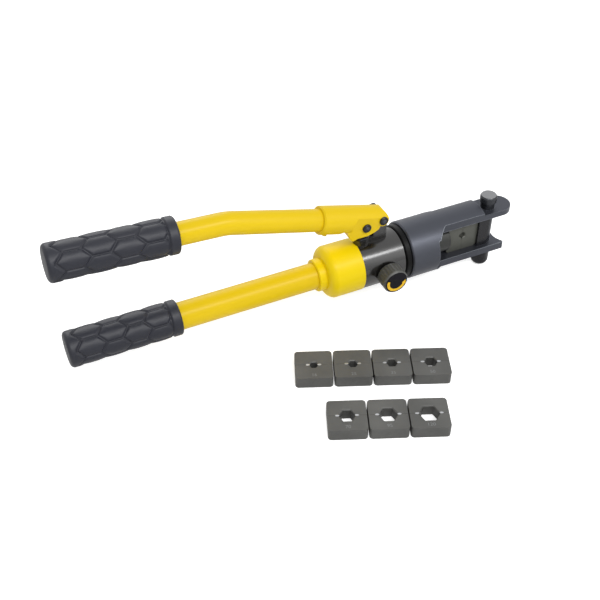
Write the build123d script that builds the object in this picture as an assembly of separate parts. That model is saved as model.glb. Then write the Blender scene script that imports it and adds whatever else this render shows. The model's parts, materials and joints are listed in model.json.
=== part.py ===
from build123d import *
import math
import os

# Hydraulic crimper: a hand pump with a swivelling clevis head, and its set of hexagon dies.
# Millimetres. The origin is the crimp centre, where the tool's axis meets the dies' parting plane.
# +X runs along the tool to the tips of the head, +Z up along the clevis pin, -Y to the release knob.

# Fits, as gaps on one side
RUN = 0.05
SEAT = 0.02
FREE = 0.3

# Dies
DIE_DEPTH = 18.0
DIE_WIDTH = 36.0
DIE_THICKNESS = 12.5
DIE_CORNER = 3.5
DIE_RELIEF = 1.2
PARTING_GAP = 0.1
NEST_CHAMFER = 0.8
JAW_NEST = 6.2
STUD_RADIUS = 2.0
STUD_LENGTH = 9.0

# Loose dies: conductor size in square millimetres and the hexagon across its flats
LOOSE_ROWS = (
    ((16, 7.0), (25, 8.0), (35, 9.3), (50, 11.0)),
    ((70, 13.0), (95, 15.0), (120, 16.7)),
)
ROW_CENTRES = ((-154.7, -100.5), (-172.0, -163.6))
ROW_YAW = -22.5
ROW_GAP = 1.3

# Head
HEAD_RADIUS = 30.2
HEAD_EDGE = 1.2
FLAT_HALF = 14.0
RAM_REACH = 23.0
CYLINDER_LENGTH = 30.7
JOURNAL_DEPTH = 9.4
POCKET_CORNER = 20.0
POCKET_HALF = 28.0
PRONG_THICKNESS = 6.3
PIN_BEHIND_DIE = 13.0
UPPER_TIP = 26.0
LOWER_TIP = 17.0
SCALLOP_DEPTH = 4.0
SCALLOP_HALF = 11.5
SPOT_BACK = 12.0

# Clevis pin and the cap that carries it
PIN_RADIUS = 7.5
PIN_NECK_LENGTH = 6.5
PIN_HEAD_RADIUS = 8.8
PIN_HEAD_HEIGHT = 8.0
CAP_RADIUS = 9.25
CAP_LENGTH = 20.0
CAP_SPIGOT = 4.0
CAP_FLOOR = 6.5
CAP_SEAT_Z = 29.0
CAP_EDGE = 5.8

# Saddle between the fixed die and the pin
SADDLE_LENGTH = 12.0
SADDLE_HALF = 9.0

# Ram
RAM_RADIUS = 14.0
RAM_STROKE = 12.0
RAM_WALL = 7.0
RAM_HOLLOW = 8.0
RAM_SEAL_WIDTH = 3.0
RAM_SEAL_DEPTH = 2.0
RAM_SEAL_BACK = 3.2

# Return spring
SPRING_RADIUS = 5.4
SPRING_WIRE = 0.8
SPRING_TURNS = 7

# Swivel joint
JOURNAL_RADIUS = 17.0
COLLAR_LENGTH = 6.0
COLLAR_RADIUS = 28.0
SWIVEL_GAP = 0.3
WIRE_WIDTH = 2.0
WIRE_BITE = 1.0
SWIVEL_SEAL_WIDTH = 1.5
SWIVEL_SEAL_DEPTH = 2.0
SWIVEL_SEAL_BACK = 1.2
ANCHOR_DEPTH = 6.0
ANCHOR_RADIUS = 3.0
ANCHOR_HEAD = 2.0

# Pump body
BODY_RADIUS = 26.3
BODY_LENGTH = 46.0
SPIGOT_RADIUS = 21.5
SPIGOT_LENGTH = 18.0
NIPPLE_RADIUS = 5.5
NIPPLE_LENGTH = 10.0
NIPPLE_BORE = 2.5

# Lever pivot and plunger, set out from the pump body's rear shoulder
FULCRUM_X = 24.0
FULCRUM_Z = 54.5
ARM_X = 18.4
ARM_Z = 3.2
LEVER_PIN_RADIUS = 3.5
LEVER_PIN_HEAD = 4.5
LEVER_PIN_HEAD_HEIGHT = 2.0
LUG_HALF = 4.0
LUG_REACH = 8.5
LUG_TOP_RADIUS = 6.0
LUG_SHOULDER = 5.5
PLUNGER_RADIUS = 5.0
PLUNGER_TIP_Z = 8.0
PLUNGER_OFFSET = 0.4
PLUNGER_BORE_Z = 2.0
EYE_RADIUS = 7.5
EYE_DROP = 12.0
EYE_SLOT = 0.65
EYE_GAP = 0.2
BOSS_RADIUS = 8.2
BOSS_TOP = 33.0
GLAND_RADIUS = 6.8
GLAND_DEPTH = 5.9
GLAND_FLATS = 13.6
GLAND_FLANGE = 2.0
PLUNGER_SEAL_WIDTH = 3.0

# Valves in the pump body
VALVE_RADIUS = 4.5
BALL_RADIUS = 3.0
PORT_RADIUS = 1.8
PLUG_LENGTH = 8.0
PLUG_HEX = 5.0
PLUG_HEX_DEPTH = 3.5
VALVE_WIRE = 0.5
VALVE_TURNS = 4
DELIVERY_Z = 8.0
RELIEF_X = 27.0

# Release valve and knob
KNOB_X = 24.7
KNOB_RADIUS = 13.0
KNOB_GAP = 0.7
KNOB_DEPTH = 16.3
KNOB_START = BODY_RADIUS + KNOB_GAP
KNOB_END = KNOB_START + KNOB_DEPTH
KNOB_EDGE = 1.6
KNOB_GRIPS = 24
SPINDLE_RADIUS = 4.5
SPINDLE_TIP = 8.0
ARROW_INNER = 7.6
ARROW_OUTER = 10.4
ARROW_HEIGHT = 0.3
ARROW_FROM = 160.0
ARROW_SWEEP = 180.0

# Rear housing, reservoir tube and bladder
HOUSING_RADIUS = 26.8
HOUSING_LENGTH = 30.0
HOUSING_SHOULDER = 7.0
HOUSING_COLLAR_RADIUS = 16.5
HOUSING_COLLAR_LENGTH = 8.0
HOUSING_WALL = 4.5
LOWER_TUBE_RADIUS = 13.45
TUBE_WALL = 2.0
TUBE_SEAT = 10.5
LOWER_TUBE_LENGTH = 256.5
BLADDER_RADIUS = 10.9
BLADDER_WALL = 1.4
BLADDER_LENGTH = 168.0
BLADDER_NECK_LENGTH = 14.0
CLAMP_WIDTH = 5.0
CLAMP_THICKNESS = 1.4

# Lever
LEVER_SLOPE = 15.7
SOCKET_BACK = 66.5
SOCKET_BELOW = 5.1
SOCKET_RADIUS = 14.0
SOCKET_LENGTH = 20.0
SOCKET_DEPTH = 22.0
SOCKET_EDGE = 1.2
BRACKET_END = 6.1
CHEEK_HALF = 11.5
CHEEK_SLOT = 4.3
CHEEK_ROOF = 11.4
CHEEK_RUNOUT = 15.0
BRACKET_CORNER = 9.5
BRACKET_BELLY = ((25.0, -6.5), (28.8, -7.2), (35.7, -16.6), (38.9, -18.5), (43.8, -15.2), (53.8, -12.5),
                 (61.4, -7.9), (64.5, -4.5))
BRACKET_FOOT = 64.8
CHEEK_START = 24.0
CHEEK_SLOT_START = 37.0
CHEEK_DEPTH = 30.0
UPPER_TUBE_RADIUS = 11.0
TUBE_RUN = 95.9
TUBE_BEND_RADIUS = 60.0
GRIP_RUN = 163.3
GRIP_SLOPE = 3.1
SCREW_RADIUS = 2.6
SCREW_HEAD = 3.0
SCREW_BACK = 17.7

# Grips
GRIP_LENGTH = 108.0
UPPER_GRIP_LENGTH = 116.0
GRIP_RADIUS = 17.6
GRIP_BASE = 16.4
GRIP_END_WALL = 4.0
GRIP_RIM = 5.5
GRIP_RINGS = 4
GRIP_GROOVE = 3.2
GRIP_PADS = 6

# Stations along X
PIN_X = DIE_DEPTH + PIN_BEHIND_DIE
WINDOW_BACK = -DIE_DEPTH - RAM_REACH
HEAD_REAR = WINDOW_BACK - CYLINDER_LENGTH
BODY_FRONT = HEAD_REAR - SWIVEL_GAP - COLLAR_LENGTH
BODY_REAR = BODY_FRONT - BODY_LENGTH
JOURNAL_END = HEAD_REAR + JOURNAL_DEPTH
WIRE_X = HEAD_REAR + JOURNAL_DEPTH / 2
RAM_REAR = JOURNAL_END + 2 * FREE + RAM_STROKE
WINDOW_HALF = DIE_WIDTH / 2 + 0.2
FLOOR_Z = -CAP_SEAT_Z - CAP_LENGTH
UPPER_TIP_X = PIN_X + UPPER_TIP
LOWER_TIP_X = PIN_X + LOWER_TIP
TUBE_FRONT = BODY_REAR - HOUSING_LENGTH - HOUSING_SHOULDER - HOUSING_COLLAR_LENGTH + TUBE_SEAT
TUBE_REAR = TUBE_FRONT - LOWER_TUBE_LENGTH
FULCRUM = (BODY_REAR + FULCRUM_X, FULCRUM_Z)
LEVER_PIN = (FULCRUM[0] - ARM_X, FULCRUM[1] - ARM_Z)
PLUNGER_X = LEVER_PIN[0] + PLUNGER_OFFSET
KNOB_AXIS_X = BODY_REAR + KNOB_X


def rod_x(start, end, radius, y=0.0, z=0.0):
    """Round bar along X."""
    bar = Cylinder(radius, end - start, align=(Align.CENTER, Align.CENTER, Align.MIN))
    return Location((start, y, z), (0, 90, 0)) * bar


def rod_y(start, end, radius, x=0.0, z=0.0):
    """Round bar along Y."""
    bar = Cylinder(radius, end - start, align=(Align.CENTER, Align.CENTER, Align.MIN))
    return Location((x, start, z), (-90, 0, 0)) * bar


def rod_z(start, end, radius, x=0.0, y=0.0):
    """Round bar along Z."""
    bar = Cylinder(radius, end - start, align=(Align.CENTER, Align.CENTER, Align.MIN))
    return Location((x, y, start)) * bar


def block(x_range, y_range, z_range):
    """Box between pairs of coordinates."""
    size = [high - low for low, high in (x_range, y_range, z_range)]
    middle = [(high + low) / 2 for low, high in (x_range, y_range, z_range)]
    return Location(middle) * Box(*size)


def side_plane(x, z, slope=0.0):
    """Plane seen from the knob side, its first axis along the tool and dropping by slope degrees."""
    angle = math.radians(slope)
    return Plane(origin=(x, 0, z), x_dir=(math.cos(angle), 0, -math.sin(angle)), z_dir=(0, -1, 0))


def slab(plane, outline, half):
    """Face on a side plane, grown by half to both sides."""
    return extrude(plane * outline, amount=half, both=True)


def turned_x(points, x=0.0):
    """Solid of revolution about X from (x, radius) points."""
    face = make_face(Polyline(*[(x + px, radius) for px, radius in points], close=True))
    return revolve(face, Axis.X)


def coil(radius, wire, length, turns):
    """Open coil spring standing on the origin along Z."""
    height = length - 2 * wire
    path = Helix(pitch=height / turns, height=height, radius=radius, center=(0, 0, wire))
    section = (path ^ 0) * Circle(wire)
    return sweep(section, path=path, is_frenet=True)


def nest_outline(across, grow=0.0):
    """Hexagon with two corners on the parting line."""
    flats = across + 2 * grow
    return Rotation(0, 0, 90) * RegularPolygon(radius=flats / math.sqrt(3), side_count=6)


def die_half(across):
    """One die: parting face on the YZ plane, body towards +X, hexagon axis along Z."""
    depth = DIE_DEPTH - PARTING_GAP
    outline = Location((PARTING_GAP + depth / 2, 0)) * Rectangle(depth, DIE_WIDTH)
    body = extrude(outline, amount=DIE_THICKNESS)
    back = body.edges().filter_by(Axis.Z).sort_by(Axis.X)[-2:]
    body = fillet(back, DIE_CORNER)
    body -= extrude(nest_outline(across), amount=DIE_THICKNESS)
    mouth = extrude(nest_outline(across, NEST_CHAMFER), amount=NEST_CHAMFER, taper=45)
    body -= mouth
    body -= Plane(origin=(0, 0, DIE_THICKNESS), z_dir=(0, 0, -1)) * mouth
    corner = across / math.sqrt(3)
    for side in (1, -1):
        relief = make_face(Polyline(
            (-1, side * (corner + DIE_RELIEF)), (0, side * (corner + DIE_RELIEF)),
            (DIE_RELIEF, side * (corner - DIE_RELIEF / 2)), (-1, side * (corner - DIE_RELIEF / 2)),
            close=True))
        body -= extrude(relief, amount=DIE_THICKNESS)
    hole = rod_x(DIE_DEPTH - STUD_LENGTH / 2, DIE_DEPTH + 1, STUD_RADIUS + SEAT)
    return body - Location((0, 0, DIE_THICKNESS / 2)) * hole


def jaw_die(side):
    """Die standing in the jaw: side 1 is the fixed one, -1 the one on the ram."""
    seat = Plane(origin=(0, side * DIE_THICKNESS / 2, 0), x_dir=(side, 0, 0), z_dir=(0, -side, 0))
    return seat * die_half(JAW_NEST)


def loose_dies():
    """The pairs that lie in two rows on the table, parting line along the row."""
    dies = {}
    yaw = math.radians(ROW_YAW)
    along = (math.cos(yaw), math.sin(yaw))
    for centre, sizes in zip(ROW_CENTRES, LOOSE_ROWS):
        for place, (conductor, nest) in enumerate(sizes):
            run = (place - (len(sizes) - 1) / 2) * (DIE_WIDTH + ROW_GAP)
            x = centre[0] + run * along[0]
            y = centre[1] + run * along[1]
            half = die_half(nest)
            front = Location((x, y, FLOOR_Z), (0, 0, ROW_YAW - 90)) * half
            rear = Location((x, y, FLOOR_Z), (0, 0, ROW_YAW + 90)) * half
            dies["loose_die_%d_front" % conductor] = front
            dies["loose_die_%d_rear" % conductor] = rear
    return dies


def head_pocket(side):
    """Milled flat on one side of the head, its inner end rounded by the cutter."""
    length = 2 * (UPPER_TIP_X - WINDOW_BACK)
    outline = RectangleRounded(length, 2 * POCKET_HALF, POCKET_CORNER)
    outline = Location((WINDOW_BACK + length / 2, 0)) * outline
    plane = Plane(origin=(0, side * FLAT_HALF, 0), x_dir=(1, 0, 0), z_dir=(0, side, 0))
    return extrude(plane * outline, amount=HEAD_RADIUS)


def crimping_head():
    """Cylinder and clevis in one forging: bore at the rear, window and two prongs in front."""
    reach = HEAD_RADIUS + 1
    body = rod_x(HEAD_REAR, UPPER_TIP_X, HEAD_RADIUS)
    body = chamfer(body.edges().sort_by(Axis.X)[0], HEAD_EDGE)
    for side in (1, -1):
        body -= head_pocket(side)
    window = block((WINDOW_BACK, UPPER_TIP_X + 1), (-reach, reach), (-WINDOW_HALF, WINDOW_HALF))
    body -= fillet(window.edges().filter_by(Axis.Y).sort_by(Axis.X)[:2], 2.0)

    tip_round = FLAT_HALF
    nose = block((UPPER_TIP_X - tip_round, UPPER_TIP_X + 1), (-reach, reach), (0, reach))
    nose -= rod_z(0, reach, tip_round, x=UPPER_TIP_X - tip_round)
    body -= nose
    spot_z = WINDOW_HALF + PRONG_THICKNESS
    body -= block((PIN_X - SPOT_BACK, UPPER_TIP_X + 1), (-reach, reach), (spot_z, reach))

    body -= block((LOWER_TIP_X, UPPER_TIP_X + 1), (-reach, reach), (-reach, 0))
    scallop = (SCALLOP_HALF ** 2 + SCALLOP_DEPTH ** 2) / (2 * SCALLOP_DEPTH)
    body -= rod_z(-reach, 0, scallop, x=LOWER_TIP_X - SCALLOP_DEPTH + scallop)

    body -= rod_z(-reach, reach, PIN_RADIUS + RUN, x=PIN_X)
    body -= rod_z(-reach, CAP_SPIGOT - CAP_SEAT_Z, CAP_RADIUS + SEAT, x=PIN_X)
    body -= rod_x(HEAD_REAR - 1, WINDOW_BACK + 1, RAM_RADIUS + RUN)
    body -= rod_x(HEAD_REAR - 1, JOURNAL_END + FREE, JOURNAL_RADIUS + RUN)
    groove = WIRE_WIDTH / 2 + SEAT
    body -= rod_x(WIRE_X - groove, WIRE_X + groove, JOURNAL_RADIUS + WIRE_BITE + SEAT)
    return body


def pin_cap():
    """Domed cup under the lower prong that carries the clevis pin's foot."""
    top = CAP_SPIGOT - CAP_SEAT_Z
    body = rod_z(FLOOR_Z, top, CAP_RADIUS, x=PIN_X)
    body = fillet(body.edges().group_by(Axis.Z)[0], CAP_EDGE)
    return body - rod_z(FLOOR_Z + CAP_FLOOR, top + 1, PIN_RADIUS + 2 * RUN, x=PIN_X)


def clevis_pin():
    """Headed pin across the clevis; lifts out to free the fixed die."""
    foot_z = FLOOR_Z + CAP_FLOOR + 0.1
    head_z = WINDOW_HALF + PRONG_THICKNESS + PIN_NECK_LENGTH
    top_z = head_z + PIN_HEAD_HEIGHT
    shaft = rod_z(foot_z, head_z, PIN_RADIUS, x=PIN_X)
    shaft = chamfer(shaft.edges().group_by(Axis.Z)[0], 1.5)
    head = rod_z(head_z, top_z, PIN_HEAD_RADIUS, x=PIN_X)
    head = fillet(head.edges().group_by(Axis.Z)[-1], 2.2)
    head = fillet(head.edges().group_by(Axis.Z)[0], 1.0)
    return shaft + head


def anvil_saddle():
    """Block behind the fixed die, hollowed to sit on the pin."""
    half = WINDOW_HALF
    body = block((DIE_DEPTH, DIE_DEPTH + SADDLE_LENGTH), (-SADDLE_HALF, SADDLE_HALF), (-half, half))
    body = chamfer(body.edges().filter_by(Axis.Y), 1.0)
    body -= rod_z(-half - 1, half + 1, PIN_RADIUS + RUN, x=PIN_X)
    return body - rod_x(DIE_DEPTH - 1, DIE_DEPTH + STUD_LENGTH / 2, STUD_RADIUS + SEAT)


def die_stud(side):
    """Round key between a jaw die and what carries it."""
    half = STUD_LENGTH / 2 - 0.2
    middle = side * DIE_DEPTH
    return rod_x(middle - half, middle + half, STUD_RADIUS)


def ram():
    """Round ram, hollow for the return spring."""
    front = -DIE_DEPTH
    body = rod_x(RAM_REAR, front, RAM_RADIUS)
    body = chamfer(body.edges().filter_by(GeomType.CIRCLE), 0.8)
    seal_x = RAM_REAR + RAM_SEAL_BACK
    groove = rod_x(seal_x, seal_x + RAM_SEAL_WIDTH, RAM_RADIUS + 1)
    body -= groove - rod_x(seal_x - 1, seal_x + 9, RAM_RADIUS - RAM_SEAL_DEPTH)
    body -= rod_x(RAM_REAR - 1, front - RAM_WALL, RAM_HOLLOW)
    return body - rod_x(front - STUD_LENGTH / 2, front + 1, STUD_RADIUS + SEAT)


def ram_seal():
    """Ring in the ram's groove."""
    start = RAM_REAR + RAM_SEAL_BACK + SEAT
    end = start + RAM_SEAL_WIDTH - 2 * SEAT
    return rod_x(start, end, RAM_RADIUS) - rod_x(start - 1, end + 1, RAM_RADIUS - RAM_SEAL_DEPTH + SEAT)


def return_spring():
    """Tension spring that draws the ram back."""
    start = JOURNAL_END + ANCHOR_HEAD + 0.2
    end = -DIE_DEPTH - RAM_WALL - 0.3
    return Location((start, 0, 0), (0, 90, 0)) * coil(SPRING_RADIUS, SPRING_WIRE, end - start, SPRING_TURNS)


def spring_anchor():
    """Headed stud in the journal that holds the spring's rear end."""
    stem = rod_x(JOURNAL_END - ANCHOR_DEPTH, JOURNAL_END, ANCHOR_RADIUS)
    return stem + rod_x(JOURNAL_END, JOURNAL_END + ANCHOR_HEAD, SPRING_RADIUS)


def swivel_collar():
    """Dark ring between the pump body and the head."""
    ring = rod_x(BODY_FRONT, HEAD_REAR - SWIVEL_GAP, COLLAR_RADIUS)
    ring = chamfer(ring.edges().filter_by(GeomType.CIRCLE), 0.8)
    return ring - rod_x(BODY_FRONT - 1, HEAD_REAR + 1, JOURNAL_RADIUS + SEAT)


def ring_x(start, end, inner, outer):
    """Plain ring about the tool's axis."""
    return rod_x(start, end, outer) - rod_x(start - 1, end + 1, inner)


def swivel_wire():
    """Ring let into the head that keeps it on the journal."""
    half = WIRE_WIDTH / 2
    return ring_x(WIRE_X - half, WIRE_X + half, JOURNAL_RADIUS - WIRE_BITE, JOURNAL_RADIUS + WIRE_BITE)


def swivel_seal():
    """Ring seal near the journal's end."""
    end = JOURNAL_END - SWIVEL_SEAL_BACK
    return ring_x(end - SWIVEL_SEAL_WIDTH, end, JOURNAL_RADIUS - SWIVEL_SEAL_DEPTH, JOURNAL_RADIUS)


def journal():
    """Nose of the pump body that the head turns on, with its two grooves."""
    body = rod_x(BODY_FRONT, JOURNAL_END, JOURNAL_RADIUS)
    half = WIRE_WIDTH / 2 + RUN
    body -= ring_x(WIRE_X - half, WIRE_X + half, JOURNAL_RADIUS - WIRE_BITE - RUN, JOURNAL_RADIUS + 1)
    end = JOURNAL_END - SWIVEL_SEAL_BACK
    root = JOURNAL_RADIUS - SWIVEL_SEAL_DEPTH - SEAT
    body -= ring_x(end - SWIVEL_SEAL_WIDTH - SEAT, end + SEAT, root, JOURNAL_RADIUS + 1)
    return body - rod_x(JOURNAL_END - ANCHOR_DEPTH, JOURNAL_END + 1, ANCHOR_RADIUS + SEAT)


def fulcrum_lug():
    """Upright lug with a round top, and the boss that takes the plunger, seen from the side."""
    x, z = FULCRUM
    top = LUG_TOP_RADIUS
    slant = math.hypot(LUG_REACH, LUG_SHOULDER)
    angle = math.acos(top / slant) - math.atan2(LUG_SHOULDER, LUG_REACH)
    touch = (x + top * math.cos(angle), z + top * math.sin(angle))
    outline = make_face(Polyline((x - top, 0), (x + LUG_REACH, 0), (x + LUG_REACH, z - LUG_SHOULDER), touch,
                                 (x, z), (x - top, z), close=True))
    lug = slab(side_plane(0, 0), outline, LUG_HALF) + rod_y(-LUG_HALF, LUG_HALF, top, x, z)
    boss = rod_z(0, BOSS_TOP, BOSS_RADIUS, x=PLUNGER_X)
    web = block((PLUNGER_X, x), (-LUG_HALF, LUG_HALF), (0, BOSS_TOP))
    raised = lug + boss + web
    return raised - rod_x(BODY_REAR - 30, BODY_REAR, HOUSING_RADIUS + FREE)


def valve_bore(axis, start, end, x, z=0.0):
    """Bore of a valve with its port, along Y or Z, from the outside inwards."""
    span = sorted((start, end))
    step = -1 if end < start else 1
    port = sorted((end, end + step * 6))
    if axis == "y":
        return rod_y(span[0], span[1], VALVE_RADIUS, x, z) + rod_y(port[0], port[1], PORT_RADIUS, x, z)
    return rod_z(span[0], span[1], VALVE_RADIUS, x) + rod_z(port[0], port[1], PORT_RADIUS, x)


def pump_body():
    """Steel block: journal in front, spigot and nipple behind, lug and plunger boss on top."""
    body = rod_x(BODY_REAR, BODY_FRONT, BODY_RADIUS)
    body = chamfer(body.edges().filter_by(GeomType.CIRCLE).sort_by(Axis.X)[-1], 1.0)
    body += fulcrum_lug()
    body += journal()
    body += rod_x(BODY_REAR - SPIGOT_LENGTH, BODY_REAR, SPIGOT_RADIUS)
    nipple_start = BODY_REAR - SPIGOT_LENGTH - NIPPLE_LENGTH
    body += rod_x(nipple_start, BODY_REAR - SPIGOT_LENGTH, NIPPLE_RADIUS)
    body -= rod_x(nipple_start - 1, BODY_REAR - SPIGOT_LENGTH + 4, NIPPLE_BORE)

    body -= rod_z(PLUNGER_BORE_Z, BOSS_TOP + 1, PLUNGER_RADIUS + RUN, x=PLUNGER_X)
    body -= rod_z(BOSS_TOP - GLAND_DEPTH, BOSS_TOP + 1, GLAND_RADIUS + SEAT, x=PLUNGER_X)
    body -= rod_y(-20, 20, LEVER_PIN_RADIUS + RUN, FULCRUM[0], FULCRUM[1])

    body -= valve_bore("z", -BODY_RADIUS - 1, -2.5, PLUNGER_X)
    body -= valve_bore("y", BODY_RADIUS + 1, 8.5, PLUNGER_X, DELIVERY_Z)
    body -= valve_bore("y", BODY_RADIUS + 1, 6.0, BODY_REAR + RELIEF_X)
    body -= rod_y(-BODY_RADIUS - 1, -SPINDLE_TIP + 3, SPINDLE_RADIUS + RUN, KNOB_AXIS_X)
    return body - rod_y(-SPINDLE_TIP, 0, PORT_RADIUS, KNOB_AXIS_X)


def hex_plug(depth):
    """Screw plug standing on the origin, hexagon socket up."""
    body = rod_z(0, depth, VALVE_RADIUS - SEAT)
    socket = extrude(RegularPolygon(radius=PLUG_HEX / math.sqrt(3), side_count=6), amount=PLUG_HEX_DEPTH + 1)
    return body - Location((0, 0, depth - PLUG_HEX_DEPTH)) * socket


def valve_place(name):
    """Frame of a valve: origin at its seat, Z pointing out of the body."""
    places = {
        "suction": Plane(origin=(PLUNGER_X, 0, -2.5), x_dir=(1, 0, 0), z_dir=(0, 0, -1)),
        "delivery": Plane(origin=(PLUNGER_X, 8.5, DELIVERY_Z), x_dir=(1, 0, 0), z_dir=(0, 1, 0)),
        "relief": Plane(origin=(BODY_REAR + RELIEF_X, 6.0, 0), x_dir=(1, 0, 0), z_dir=(0, 1, 0)),
    }
    return places[name]


def valve_depth(name):
    """Distance from a valve's seat to just under the body's surface."""
    depths = {
        "suction": BODY_RADIUS - 2.5,
        "delivery": math.sqrt(BODY_RADIUS ** 2 - (DELIVERY_Z + VALVE_RADIUS) ** 2) - 8.5,
        "relief": math.sqrt(BODY_RADIUS ** 2 - VALVE_RADIUS ** 2) - 6.0,
    }
    return depths[name] - 0.6


def valve_parts(name):
    """Ball, spring and plug of one valve."""
    place = valve_place(name)
    depth = valve_depth(name)
    plug_start = depth - PLUG_LENGTH
    lift = math.sqrt(BALL_RADIUS ** 2 - PORT_RADIUS ** 2) + SEAT
    spring_start = lift + BALL_RADIUS + 0.05
    spring = coil(VALVE_RADIUS - 1.5, VALVE_WIRE, plug_start - spring_start - 0.05, VALVE_TURNS)
    return {
        name + "_ball": place * (Location((0, 0, lift)) * Sphere(BALL_RADIUS)),
        name + "_spring": place * (Location((0, 0, spring_start)) * spring),
        name + "_plug": place * (Location((0, 0, plug_start)) * hex_plug(PLUG_LENGTH)),
    }


def release_parts():
    """Release screw, its ball, the knob and the arrow on the knob's face."""
    x = KNOB_AXIS_X
    tip = -SPINDLE_TIP
    lift = math.sqrt(BALL_RADIUS ** 2 - PORT_RADIUS ** 2) + SEAT
    ball = Location((x, tip + 3 - lift, 0)) * Sphere(BALL_RADIUS)
    spindle_start = tip + 3 - lift - BALL_RADIUS - 0.1
    spindle = rod_y(-KNOB_END + 6, spindle_start, SPINDLE_RADIUS, x)
    knob = rod_y(-KNOB_END, -KNOB_START, KNOB_RADIUS, x)
    knob = chamfer(knob.edges().filter_by(GeomType.CIRCLE), KNOB_EDGE)
    for step in range(KNOB_GRIPS):
        angle = 2 * math.pi * (step + 0.5) / KNOB_GRIPS
        reach = KNOB_RADIUS + 0.45
        flute = (x + reach * math.cos(angle), reach * math.sin(angle))
        knob -= rod_y(-KNOB_END + 3.2, -KNOB_START - 2.2, 1.0, *flute)
    knob -= rod_y(-KNOB_END + 6 - SEAT, -KNOB_START + 1, SPINDLE_RADIUS + SEAT, x)
    return {
        "release_ball": ball,
        "release_spindle": spindle,
        "release_knob": knob,
        "knob_arrow": knob_arrow(),
    }


def knob_arrow():
    """Curved arrow laid on the knob's face."""
    face_y = -KNOB_END
    plane = Plane(origin=(KNOB_AXIS_X, face_y, 0), x_dir=(1, 0, 0), z_dir=(0, -1, 0))
    middle = (ARROW_INNER + ARROW_OUTER) / 2
    band = Circle(ARROW_OUTER) - Circle(ARROW_INNER)
    sector = [(0, 0)]
    for step in range(7):
        angle = math.radians(ARROW_FROM + ARROW_SWEEP * step / 6)
        sector.append((2 * ARROW_OUTER * math.cos(angle), 2 * ARROW_OUTER * math.sin(angle)))
    band &= make_face(Polyline(*sector, close=True))
    end = math.radians(ARROW_FROM + ARROW_SWEEP)
    radial = (math.cos(end), math.sin(end))
    onward = (-math.sin(end), math.cos(end))
    reach = 2.3
    tip = make_face(Polyline(
        ((middle - reach) * radial[0], (middle - reach) * radial[1]),
        ((middle + reach) * radial[0], (middle + reach) * radial[1]),
        (middle * radial[0] + 4.2 * onward[0], middle * radial[1] + 4.2 * onward[1]), close=True))
    return extrude(plane * (band + tip), amount=ARROW_HEIGHT)


def plunger_gland():
    """Hexagon gland nut that closes the plunger's bore."""
    stem = rod_z(BOSS_TOP - GLAND_DEPTH + PLUNGER_SEAL_WIDTH, BOSS_TOP, GLAND_RADIUS, x=PLUNGER_X)
    flange = extrude(RegularPolygon(radius=GLAND_FLATS / math.sqrt(3), side_count=6), amount=GLAND_FLANGE)
    body = stem + Location((PLUNGER_X, 0, BOSS_TOP)) * flange
    return body - rod_z(0, BOSS_TOP + 9, PLUNGER_RADIUS + RUN, x=PLUNGER_X)


def plunger_seal():
    """Ring seal under the gland."""
    bottom = BOSS_TOP - GLAND_DEPTH
    ring = rod_z(bottom, bottom + PLUNGER_SEAL_WIDTH, GLAND_RADIUS, x=PLUNGER_X)
    return ring - rod_z(0, BOSS_TOP, PLUNGER_RADIUS + SEAT, x=PLUNGER_X)


def plunger():
    """Pump plunger with a slotted eye for the lever's pin."""
    x, z = PLUNGER_X, LEVER_PIN[1]
    shaft = rod_z(PLUNGER_TIP_Z, z - EYE_DROP, PLUNGER_RADIUS, x=x)
    shaft = chamfer(shaft.edges().group_by(Axis.Z)[0], 0.8)
    eye = block((x - EYE_RADIUS, x + EYE_RADIUS), (-LUG_HALF, LUG_HALF), (z - EYE_DROP, z))
    eye = chamfer(eye.edges().filter_by(Axis.Y).group_by(Axis.Z)[0], 2.0)
    eye += rod_y(-LUG_HALF, LUG_HALF, EYE_RADIUS, x, z)
    hole = LEVER_PIN_RADIUS + EYE_GAP
    slot = rod_y(-9, 9, hole, x - EYE_SLOT, z) + rod_y(-9, 9, hole, x + EYE_SLOT, z)
    slot += block((x - EYE_SLOT, x + EYE_SLOT), (-9, 9), (z - hole, z + hole))
    return shaft + eye - slot


def lever_pin(place):
    """Headed pin through the bracket, head to the front."""
    x, z = place
    face = CHEEK_HALF + SEAT
    pin = rod_y(-face, face + 3.0, LEVER_PIN_RADIUS, x, z)
    groove = rod_y(face + 0.2, face + 1.2, LEVER_PIN_RADIUS + 1, x, z)
    pin -= groove - rod_y(face, face + 2, LEVER_PIN_RADIUS - 0.6, x, z)
    head = rod_y(-face - LEVER_PIN_HEAD_HEIGHT, -face, LEVER_PIN_HEAD, x, z)
    head = chamfer(head.edges().filter_by(GeomType.CIRCLE).sort_by(Axis.Y)[0], 0.5)
    return pin + head


def lever_clip(place):
    """Retaining ring in the pin's rear groove."""
    x, z = place
    start = CHEEK_HALF + SEAT + 0.2 + SEAT
    ring = rod_y(start, start + 1.0 - 2 * SEAT, LEVER_PIN_RADIUS + 1.6, x, z)
    ring -= rod_y(start - 1, start + 2, LEVER_PIN_RADIUS - 0.6 + SEAT, x, z)
    return ring - block((x - 2.2, x + 2.2), (start - 1, start + 2), (z - 9, z - 1.5))


def lever_plane():
    """Side plane of the lever: origin on the tube's axis at the socket's mouth."""
    angle = math.radians(LEVER_SLOPE)
    x = FULCRUM[0] - SOCKET_BACK * math.cos(angle) - SOCKET_BELOW * math.sin(angle)
    z = FULCRUM[1] + SOCKET_BACK * math.sin(angle) - SOCKET_BELOW * math.cos(angle)
    return side_plane(x, z, LEVER_SLOPE)


def along_tube(start, end, radius):
    """Round bar on the lever tube's axis."""
    plane = lever_plane()
    section = Plane(origin=plane.origin + plane.x_dir * start, x_dir=(0, 1, 0), z_dir=plane.x_dir)
    return extrude(section * Circle(radius), amount=end - start)


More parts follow.
